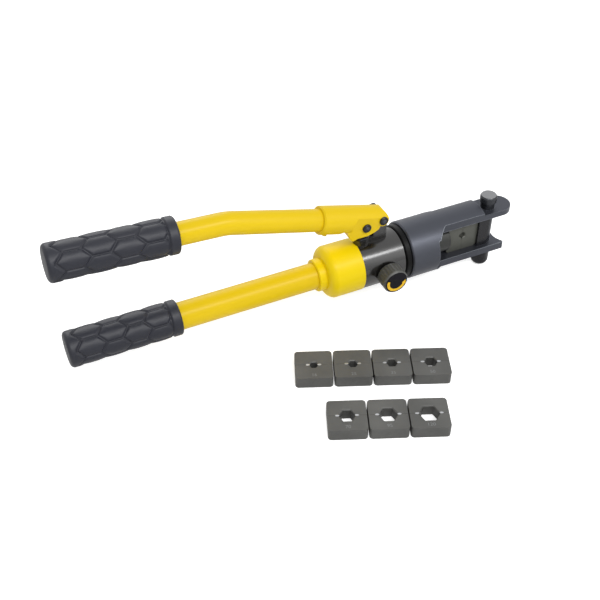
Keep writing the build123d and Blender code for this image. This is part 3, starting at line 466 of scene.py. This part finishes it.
def pad_border(x, angle, start, end, grip):
    """Distance from each point of a grip's skin to the nearest groove, and which points lie on pads."""
    pitch = (end - start) / grip.rings
    wide = 2 * math.pi * grip.radius / grip.pads
    squeeze = wide * math.sqrt(3) / 2 / pitch
    # Ring -1 is the plain closed end, and each ring goes on past the seam at both sides.
    centres, ring_of = [], []
    for ring in range(-1, grip.rings + 1):
        for pad in range(-1, grip.pads + 2):
            centres.append(((ring + 0.5) * pitch * squeeze, (pad + (ring % 2) / 2) * wide))
            ring_of.append(ring)
    centres, ring_of = np.array(centres), np.array(ring_of)
    points = np.stack([((x - start) * squeeze).ravel(), (angle * grip.radius).ravel()], axis=1)
    square = ((points[:, None, :] - centres[None, :, :]) ** 2).sum(axis=2)
    nearest = np.argsort(square, axis=1)[:, :2]
    rows = np.arange(len(points))
    apart = np.linalg.norm(centres[nearest[:, 0]] - centres[nearest[:, 1]], axis=1)
    border = (square[rows, nearest[:, 1]] - square[rows, nearest[:, 0]]) / (2 * apart)
    on_end_cap = ring_of[nearest].max(axis=1) < 0
    border = np.where(on_end_cap, NO_GROOVE * grip.groove, border).reshape(x.shape)
    edge = np.abs(x - end)
    on_pad = (x < end) & (ring_of[nearest[:, 0]] >= 0).reshape(x.shape)
    return np.where(x < end, np.minimum(border, edge), edge), on_pad


def fall(depth, radius):
    """How far a rounded edge lies below the full radius, at some depth into it."""
    return radius - np.sqrt(np.maximum(radius ** 2 - depth ** 2, 0))


def grip_radii(x, angle, span, grip):
    """Skin radius of a grip at each place along and round it."""
    level = np.full(x.shape, grip.radius)
    level -= fall(np.clip(grip.end_round - x, 0, grip.end_round), grip.end_round)
    level -= fall(np.clip(x - (span - grip.mouth_round), 0, grip.mouth_round), grip.mouth_round)
    border, on_pad = pad_border(x, angle, grip.end_cap, span - grip.collar, grip)
    rise = np.clip(border / grip.groove, 0, 1)
    rise = rise * rise * (3 - 2 * rise)
    crown = np.clip(1 - border / (CROWN_REACH * grip.groove), 0, 1) ** 2 * on_pad
    return level - grip.relief * (1 - rise) - grip.crown * crown


def make_grip(node, body, span, slope, bore, grip):
    """Rubber grip with rounded hexagon pads, in place of the plain one."""
    end = grip.end_round * (1 - np.cos(np.linspace(END_START, math.pi / 2, END_RINGS)))
    run = np.linspace(grip.end_round, span - grip.mouth_round, SKIN_RINGS)[1:]
    mouth = grip.mouth_round * np.sin(np.linspace(MOUTH_START, math.pi / 2, MOUTH_RINGS))
    along = np.concatenate([end, run, span - grip.mouth_round + mouth])
    angles = np.linspace(0, 2 * math.pi, SKIN_POINTS, endpoint=False)
    x, angle = np.meshgrid(along, angles, indexing="ij")
    radius = grip_radii(x, angle, span, grip)
    bore_x = np.array([span, grip.end_wall])
    x = np.vstack([x, np.repeat(bore_x[:, None], SKIN_POINTS, axis=1)])
    radius = np.vstack([radius, np.full((2, SKIN_POINTS), bore)])
    angle = np.vstack([angle, angle[:2]])
    out = Vector((math.cos(slope), 0, -math.sin(slope)))
    up = Vector((math.sin(slope), 0, math.cos(slope)))
    origin = middle(node) - out * (span / 2)
    rings = (np.array(origin) + x[..., None] * np.array(out)
             + (radius * np.cos(angle))[..., None] * np.array(up)
             + (radius * np.sin(angle))[..., None] * np.array((0, 1, 0)))
    mesh = rings_to_mesh(node + "_pads", rings, origin, origin + out * grip.end_wall)
    piece = put(node + "_pads", mesh, body, "grip_rubber")
    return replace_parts(piece, node)


# Buttons and beads, grown by Geometry Nodes

BUTTON_SEGMENTS = 24
BEAD_SIDES = 8


def end_tree(tree, geometry, start, end):
    """Last steps of a tree: a real, smooth mesh with the finish that the tree is given."""
    steps = [tree.nodes.new(kind) for kind in (
        "GeometryNodeRealizeInstances", "GeometryNodeSetShadeSmooth", "GeometryNodeSetMaterial")]
    for step in steps:
        tree.links.new(geometry, step.inputs["Geometry"])
        geometry = step.outputs["Geometry"]
    tree.links.new(start.outputs["Finish"], steps[-1].inputs["Material"])
    tree.links.new(geometry, end.inputs["Geometry"])
    tree.is_modifier = True
    return tree


def buttons_tree():
    """Geometry Nodes: a rounded button, scaled and turned, on every point."""
    name = "Buttons on points"
    if name in bpy.data.node_groups:
        return bpy.data.node_groups[name]
    tree, start, end = new_tree(name, "GeometryNodeTree", (
        ("Points", "INPUT", "NodeSocketGeometry"),
        ("Button size", "INPUT", "NodeSocketVector"),
        ("Turn", "INPUT", "NodeSocketVector"),
        ("Segments", "INPUT", "NodeSocketInt"),
        ("Finish", "INPUT", "NodeSocketMaterial"),
        ("Geometry", "OUTPUT", "NodeSocketGeometry"),
    ))
    nodes, links = tree.nodes, tree.links
    ball = nodes.new("GeometryNodeMeshUVSphere")
    copies = nodes.new("GeometryNodeInstanceOnPoints")
    turn = nodes.new("FunctionNodeEulerToRotation")
    ball.inputs["Radius"].default_value = 1.0
    links.new(start.outputs["Segments"], ball.inputs["Segments"])
    links.new(start.outputs["Points"], copies.inputs["Points"])
    links.new(ball.outputs["Mesh"], copies.inputs["Instance"])
    links.new(start.outputs["Turn"], turn.inputs[0])
    links.new(turn.outputs[0], copies.inputs["Rotation"])
    links.new(start.outputs["Button size"], copies.inputs["Scale"])
    return end_tree(tree, copies.outputs["Instances"], start, end)


def beads_tree():
    """Geometry Nodes: a round bead along every edge."""
    name = "Beads on edges"
    if name in bpy.data.node_groups:
        return bpy.data.node_groups[name]
    tree, start, end = new_tree(name, "GeometryNodeTree", (
        ("Edges", "INPUT", "NodeSocketGeometry"),
        ("Bead radius", "INPUT", "NodeSocketFloat"),
        ("Sides", "INPUT", "NodeSocketInt"),
        ("Finish", "INPUT", "NodeSocketMaterial"),
        ("Geometry", "OUTPUT", "NodeSocketGeometry"),
    ))
    nodes, links = tree.nodes, tree.links
    path = nodes.new("GeometryNodeMeshToCurve")
    ring = nodes.new("GeometryNodeCurvePrimitiveCircle")
    sweep = nodes.new("GeometryNodeCurveToMesh")
    sweep.inputs["Fill Caps"].default_value = True
    links.new(start.outputs["Edges"], path.inputs["Mesh"])
    links.new(start.outputs["Bead radius"], ring.inputs["Radius"])
    links.new(start.outputs["Sides"], ring.inputs["Resolution"])
    links.new(path.outputs["Curve"], sweep.inputs["Curve"])
    links.new(ring.outputs["Curve"], sweep.inputs["Profile Curve"])
    return end_tree(tree, sweep.outputs["Mesh"], start, end)


def grow(name, points, edges, tree, values):
    """Plain mesh that a Geometry Nodes tree makes from points and edges."""
    carrier = bpy.data.meshes.new(name + "_carrier")
    carrier.from_pydata([tuple(point) for point in points], edges, [])
    host = bpy.data.objects.new(name + "_host", carrier)
    bpy.context.scene.collection.objects.link(host)
    modifier = host.modifiers.new("Tree", "NODES")
    modifier.node_group = tree
    for item in tree.interface.items_tree:
        if item.item_type == "SOCKET" and item.in_out == "INPUT" and item.name in values:
            modifier[item.identifier] = values[item.name]
    mesh = evaluated_mesh(host)
    mesh.name = name
    host.modifiers.remove(modifier)
    bpy.data.objects.remove(host)
    return mesh


def make_buttons(name, points, size, turn, body, slot, finish):
    """One piece of like buttons at some points."""
    values = {"Button size": size, "Turn": turn, "Segments": BUTTON_SEGMENTS, "Finish": FINISHES[finish]}
    return put(name, grow(name, points, [], buttons_tree(), values), body, slot, finish)


# The head's edges and the ram's spring

# Points of a CAD node's loose triangles that lie closer than this are one.
HEAD_REACH = 0.005 * MM
SPRING_REACH = 0.002 * MM


def sharp_edges(node, least, depth):
    """Outward sharp edges of a CAD node, sunk a little into the part."""
    work = joined(node, HEAD_REACH)
    sunk, edges = {}, []
    for edge in work.edges:
        if len(edge.link_faces) == 2 and edge.calc_face_angle_signed() > least:
            inward = -(edge.link_faces[0].normal + edge.link_faces[1].normal).normalized()
            for vert in edge.verts:
                sunk.setdefault(vert.index, []).append(inward)
            edges.append([vert.index for vert in edge.verts])
    order = {index: position for position, index in enumerate(sunk)}
    work.verts.ensure_lookup_table()
    points = []
    for index, ways in sunk.items():
        way = sum(ways, Vector()).normalized()
        points.append(work.verts[index].co + way * depth)
    work.free()
    return points, [(order[first], order[second]) for first, second in edges]


# Small shapes on the dies, the knob and the pin

DISC_SEGMENTS = 72

# Where the loose dies lie: each pair's middle by size, the direction along a row and towards its
# front, the row's turn from X, and the height of the tops.
Dies = namedtuple("Dies", "pairs row front turn top")


def loose_dies():
    """Place of the loose dies, from the frame."""
    pairs = {size: middle(f"loose_die_{size}_front", f"loose_die_{size}_rear") for size in CONDUCTORS}
    row = (pairs[ROW_END] - pairs[ROW_START]).normalized()
    row.z = 0
    front = Vector((row.y, -row.x, 0))
    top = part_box(f"loose_die_{ROW_START}_front")[1].z
    return Dies(pairs, row, front, math.atan2(row.y, row.x), top)


def figure_mesh(text, height, thickness):
    """Flat figures with a little thickness, centred on the origin."""
    curve = bpy.data.curves.new("figures", "FONT")
    curve.body = text
    curve.size = height
    curve.extrude = thickness / 2
    curve.align_x = "CENTER"
    curve.align_y = "CENTER"
    holder = bpy.data.objects.new("figures", curve)
    bpy.context.scene.collection.objects.link(holder)
    mesh = evaluated_mesh(holder)
    bpy.data.objects.remove(holder)
    return mesh


def disc_mesh(name, radius, thickness):
    """Round plate with a bevelled edge, its back on the origin and its face towards +Z."""
    work = bmesh.new()
    bmesh.ops.create_cone(work, cap_ends=True, segments=DISC_SEGMENTS,
                          radius1=radius, radius2=radius - thickness, depth=thickness)
    bmesh.ops.translate(work, verts=work.verts, vec=(0, 0, thickness / 2))
    return to_mesh(name, work)


# Operators

class CRIMPER_OT_finishes(Operator):
    """Puts each part's finish on it"""

    bl_idname = "crimper.finishes"
    bl_label = "Finishes"

    def execute(self, context):
        FINISHES.update(make_finishes(context.scene.crimper_finishes))
        for name, node in frame["nodes"].items():
            node.data.materials.clear()
            node.data.materials.append(FINISHES[OWN_FINISH.get(name, SLOT_OF[name])])
        return {"FINISHED"}


class CRIMPER_OT_grips(Operator):
    """Makes the two rubber grips with their pads"""

    bl_idname = "crimper.grips"
    bl_label = "Grips"

    def execute(self, context):
        grip = context.scene.crimper_grips
        low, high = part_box("lower_grip")
        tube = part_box("lower_tube")
        make_grip("lower_grip", "pump", high.x - low.x, 0.0, (tube[1].z - tube[0].z) / 2, grip)
        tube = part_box("lever_tube")
        make_grip("upper_grip", "lever", grip.lever_length, grip.slope, (tube[1].y - tube[0].y) / 2, grip)
        return {"FINISHED"}


class CRIMPER_OT_figures(Operator):
    """Marks each loose die with its conductor size"""

    bl_idname = "crimper.figures"
    bl_label = "Die figures"

    def execute(self, context):
        marks = context.scene.crimper_marks
        dies = loose_dies()
        for size, centre in dies.pairs.items():
            mesh = figure_mesh(str(size), marks.figure, marks.figure_depth)
            spot = centre + dies.front * marks.figure_back
            spot.z = dies.top
            mesh.transform(Matrix.Translation(spot) @ Matrix.Rotation(dies.turn, 4, "Z"))
            put(f"figure_{size}", mesh, "pump", "die_steel", "figure")
        return {"FINISHED"}


class CRIMPER_OT_glints(Operator):
    """Adds the painted highlights at the corners of the dies' nests, where their chamfers catch the light"""

    bl_idname = "crimper.glints"
    bl_label = "Worn places"

    def execute(self, context):
        marks = context.scene.crimper_marks
        dies = loose_dies()
        nests = {opening["name"]: opening["box_m"] for opening in frame["record"]["physics"]["openings"]}
        points = []
        for size, centre in dies.pairs.items():
            # A nest's opening is the square in the circle that touches the hexagon's flats.
            low, high = nests[f"nest_{size}"]
            corner = (high[0] - low[0]) * math.sqrt(2 / 3)
            for side in (-1, 1):
                spot = centre + dies.row * side * (corner + marks.glint_gap)
                points.append((spot.x, spot.y, dies.top))
        # Painted highlights at both sides of each nest.
        button = (marks.glint, marks.glint * marks.glint_shape, marks.glint_lift)
        make_buttons("die_glints", points, button, (0.0, 0.0, dies.turn), "pump", "die_steel", "worn")
        return {"FINISHED"}


class CRIMPER_OT_die_plugs(Operator):
    """Closes the stud holes in the fronts of the loose dies"""

    bl_idname = "crimper.die_plugs"
    bl_label = "Die plugs"

    def execute(self, context):
        marks = context.scene.crimper_marks
        dies = loose_dies()
        points = [centre + dies.front * marks.die_half for centre in dies.pairs.values()]
        button = (marks.plug, marks.plug, marks.plug_lift)
        turn = (math.pi / 2, 0.0, dies.turn)
        make_buttons("die_plugs", points, button, turn, "pump", "die_steel", "die_steel")
        return {"FINISHED"}


class CRIMPER_OT_spring(Operator):
    """Makes the ram's return spring one joined piece that rides on the ram"""

    bl_idname = "crimper.spring"
    bl_label = "Return spring"

    def execute(self, context):
        mesh = to_mesh("return_coil", joined("return_spring", SPRING_REACH))
        mesh.shade_smooth()
        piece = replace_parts(put("return_coil", mesh, "ram", "bright_steel"), "return_spring")
        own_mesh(piece)
        return {"FINISHED"}


class CRIMPER_OT_edges(Operator):
    """Lays painted highlights along the sharp edges of the head"""

    bl_idname = "crimper.edges"
    bl_label = "Head edges"

    def execute(self, context):
        marks = context.scene.crimper_marks
        radius = marks.edge_line
        points, edges = sharp_edges("crimping_head", marks.edge_angle, marks.edge_sink)
        low, high = (np.array(corner) for corner in CAD_BOX)
        points = np.clip(np.array(points), low + radius, high - radius)
        # Painted highlight beads along the sharp edges.
        values = {"Bead radius": radius, "Sides": BEAD_SIDES, "Finish": FINISHES["head_edge"]}
        mesh = grow("head_edges", points, edges, beads_tree(), values)
        put("head_edges", mesh, "head", "head_enamel", "head_edge")
        return {"FINISHED"}


class CRIMPER_OT_knob_face(Operator):
    """Lays the black face on the release knob, under its arrow"""

    bl_idname = "crimper.knob_face"
    bl_label = "Knob face"

    def execute(self, context):
        marks = context.scene.crimper_marks
        low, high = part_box("release_knob")
        mesh = disc_mesh("knob_face", (high.x - low.x) / 2 - marks.face_rim, marks.face_lift)
        spot = Vector(((low.x + high.x) / 2, low.y, (low.z + high.z) / 2))
        mesh.transform(Matrix.Translation(spot) @ Matrix.Rotation(math.pi / 2, 4, "X"))
        put("knob_face", mesh, "knob", "knob_plastic", "knob_face")
        return {"FINISHED"}


class CRIMPER_OT_pin_top(Operator):
    """Puts the pale top, a painted reflection of the sky, on the head's pin"""

    bl_idname = "crimper.pin_top"
    bl_label = "Pin top"

    def execute(self, context):
        marks = context.scene.crimper_marks
        low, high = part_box("clevis_pin")
        mesh = disc_mesh("pin_top", (high.y - low.y) / 2 - marks.face_rim, marks.glint_lift)
        spot = Vector(((low.x + high.x) / 2, (low.y + high.y) / 2, high.z))
        mesh.transform(Matrix.Translation(spot))
        put("pin_top", mesh, "pin", "dark_steel", "pin_top")
        return {"FINISHED"}


class CRIMPER_OT_pin_domes(Operator):
    """Adds the domed centres of the lever's two pins"""

    bl_idname = "crimper.pin_domes"
    bl_label = "Pin domes"

    def execute(self, context):
        marks = context.scene.crimper_marks
        points = []
        for pin in ("fulcrum_pin", "plunger_pin"):
            centre = middle(pin)
            points.append((centre.x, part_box(pin)[0].y, centre.z))
        button = (marks.dome, marks.dome, marks.dome_lift)
        turn = (math.pi / 2, 0.0, 0.0)
        make_buttons("pin_domes", points, button, turn, "lever", "dark_steel", "dark_steel")
        return {"FINISHED"}


# Stage

# Each lamp's name, the setting that holds its power, its place from the target, width and height.
LAMPS = (
    ("Key lamp", "key", (0.0, -0.92, 1.18), 1.6, 0.24),
    ("Fill lamp", "fill", (1.1, -0.9, 0.9), 1.4, 1.4),
    ("Rear lamp", "rim", (0.1, 1.45, 0.95), 1.2, 1.2),
)
FLOOR_ROUGHNESS = 0.9

# Width of the camera's sensor in millimetres, and the nearest distance that it sees in metres.
SENSOR_WIDTH = 36.0
NEAREST_SEEN = 0.01


def floor_material(tone, glow):
    """Pale floor with a glow that only the camera sees."""
    material = bpy.data.materials.new("Pale floor")
    material.use_nodes = True
    nodes, links = material.node_tree.nodes, material.node_tree.links
    shader = nodes["Principled BSDF"]
    shader.inputs["Base Color"].default_value = (tone, tone, tone, 1)
    shader.inputs["Roughness"].default_value = FLOOR_ROUGHNESS
    path, light = nodes.new("ShaderNodeLightPath"), nodes.new("ShaderNodeEmission")
    strength, both = nodes.new("ShaderNodeMath"), nodes.new("ShaderNodeAddShader")
    strength.operation = "MULTIPLY"
    strength.inputs[1].default_value = glow
    links.new(path.outputs["Is Camera Ray"], strength.inputs[0])
    links.new(strength.outputs[0], light.inputs["Strength"])
    links.new(shader.outputs[0], both.inputs[0])
    links.new(light.outputs[0], both.inputs[1])
    links.new(both.outputs[0], nodes["Material Output"].inputs["Surface"])
    return material


def make_floor(stage):
    """Wide floor under the lowest point of the tool."""
    half = stage.floor / 2
    level = CAD_BOX[0].z
    mesh = bpy.data.meshes.new("Floor")
    corners = [(-half, -half, level), (half, -half, level), (half, half, level), (-half, half, level)]
    mesh.from_pydata(corners, [], [(0, 1, 2, 3)])
    mesh.materials.append(floor_material(stage.floor_tone, stage.floor_glow))
    floor = bpy.data.objects.new("Floor", mesh)
    bpy.context.scene.collection.objects.link(floor)


def make_world(sky):
    """White to the camera, in reflections and through clear things, softer as light."""
    world = bpy.data.worlds.new("Studio")
    bpy.context.scene.world = world
    world.use_nodes = True
    nodes, links = world.node_tree.nodes, world.node_tree.links
    seen, light = nodes["Background"], nodes.new("ShaderNodeBackground")
    for background, strength in ((seen, 1.0), (light, sky)):
        background.inputs["Color"].default_value = WHITE
        background.inputs["Strength"].default_value = strength
    path, mix = nodes.new("ShaderNodeLightPath"), nodes.new("ShaderNodeMixShader")
    camera_or_glossy, shown = nodes.new("ShaderNodeMath"), nodes.new("ShaderNodeMath")
    shown.use_clamp = True
    links.new(path.outputs["Is Camera Ray"], camera_or_glossy.inputs[0])
    links.new(path.outputs["Is Glossy Ray"], camera_or_glossy.inputs[1])
    links.new(camera_or_glossy.outputs[0], shown.inputs[0])
    links.new(path.outputs["Is Transmission Ray"], shown.inputs[1])
    links.new(shown.outputs[0], mix.inputs[0])
    links.new(light.outputs[0], mix.inputs[1])
    links.new(seen.outputs[0], mix.inputs[2])
    links.new(mix.outputs[0], nodes["World Output"].inputs["Surface"])


def look_at(holder, spot, target):
    """Links a lamp or camera at a place, turned to a point."""
    holder.location = spot
    holder.rotation_mode = "QUATERNION"
    holder.rotation_quaternion = (target - spot).to_track_quat("-Z", "Y")
    bpy.context.scene.collection.objects.link(holder)


def make_lamp(name, watts, spot, target, width, height):
    """Large soft lamp turned to a point."""
    lamp = bpy.data.lights.new(name, "AREA")
    lamp.shape = "RECTANGLE"
    lamp.energy = watts
    lamp.size = width
    lamp.size_y = height
    look_at(bpy.data.objects.new(name, lamp), spot, target)


def make_camera(stage):
    """Camera at the photograph's viewing angle."""
    data = bpy.data.cameras.new("Camera")
    data.lens = stage.lens
    data.sensor_width = SENSOR_WIDTH
    data.clip_start = NEAREST_SEEN
    camera = bpy.data.objects.new("Camera", data)
    look_at(camera, Vector(stage.camera), Vector(stage.target))
    bpy.context.scene.camera = camera


class CRIMPER_OT_stage(Operator):
    """Sets up the floor, the lamps, the world and the camera"""

    bl_idname = "crimper.stage"
    bl_label = "Stage"

    def execute(self, context):
        stage = context.scene.crimper_stage
        make_floor(stage)
        target = Vector(stage.target)
        for name, setting, offset, width, height in LAMPS:
            make_lamp(name, getattr(stage, setting), target + Vector(offset), target, width, height)
        make_world(stage.sky)
        make_camera(stage)
        context.scene.view_settings.view_transform = "Standard"
        return {"FINISHED"}


# Add-on

OPERATORS = (
    CRIMPER_OT_finishes,
    CRIMPER_OT_grips,
    CRIMPER_OT_figures,
    CRIMPER_OT_glints,
    CRIMPER_OT_die_plugs,
    CRIMPER_OT_spring,
    CRIMPER_OT_edges,
    CRIMPER_OT_knob_face,
    CRIMPER_OT_pin_top,
    CRIMPER_OT_pin_domes,
    CRIMPER_OT_stage,
)
GROUPS = {
    "crimper_finishes": CrimperFinishes,
    "crimper_grips": CrimperGrips,
    "crimper_marks": CrimperMarks,
    "crimper_stage": CrimperStage,
}


class CRIMPER_PT_panel(Panel):
    """Lists the operators and their settings"""

    bl_idname = "CRIMPER_PT_panel"
    bl_label = "Hydraulic crimper"
    bl_space_type = "VIEW_3D"
    bl_region_type = "UI"
    bl_category = "Crimper"

    def draw(self, context):
        for operator in OPERATORS:
            self.layout.operator(operator.bl_idname)
        for group in GROUPS:
            box = self.layout.box()
            values = getattr(context.scene, group)
            for name in values.__annotations__:
                box.prop(values, name)


def register():
    """Adds the classes and their settings."""
    for group, kind in GROUPS.items():
        bpy.utils.register_class(kind)
        setattr(bpy.types.Scene, group, PointerProperty(type=kind))
    for operator in OPERATORS:
        bpy.utils.register_class(operator)
    bpy.utils.register_class(CRIMPER_PT_panel)


def unregister():
    """Takes the classes and their settings away."""
    bpy.utils.unregister_class(CRIMPER_PT_panel)
    for operator in reversed(OPERATORS):
        bpy.utils.unregister_class(operator)
    for group, kind in reversed(GROUPS.items()):
        delattr(bpy.types.Scene, group)
        bpy.utils.unregister_class(kind)


def main():
    """Builds every piece in order."""
    register()
    bpy.ops.crimper.finishes()
    bpy.ops.crimper.grips()
    bpy.ops.crimper.figures()
    bpy.ops.crimper.glints()
    bpy.ops.crimper.die_plugs()
    bpy.ops.crimper.spring()
    bpy.ops.crimper.edges()
    bpy.ops.crimper.knob_face()
    bpy.ops.crimper.pin_top()
    bpy.ops.crimper.pin_domes()
    bpy.ops.crimper.stage()


if __name__ == "__main__":
    main()
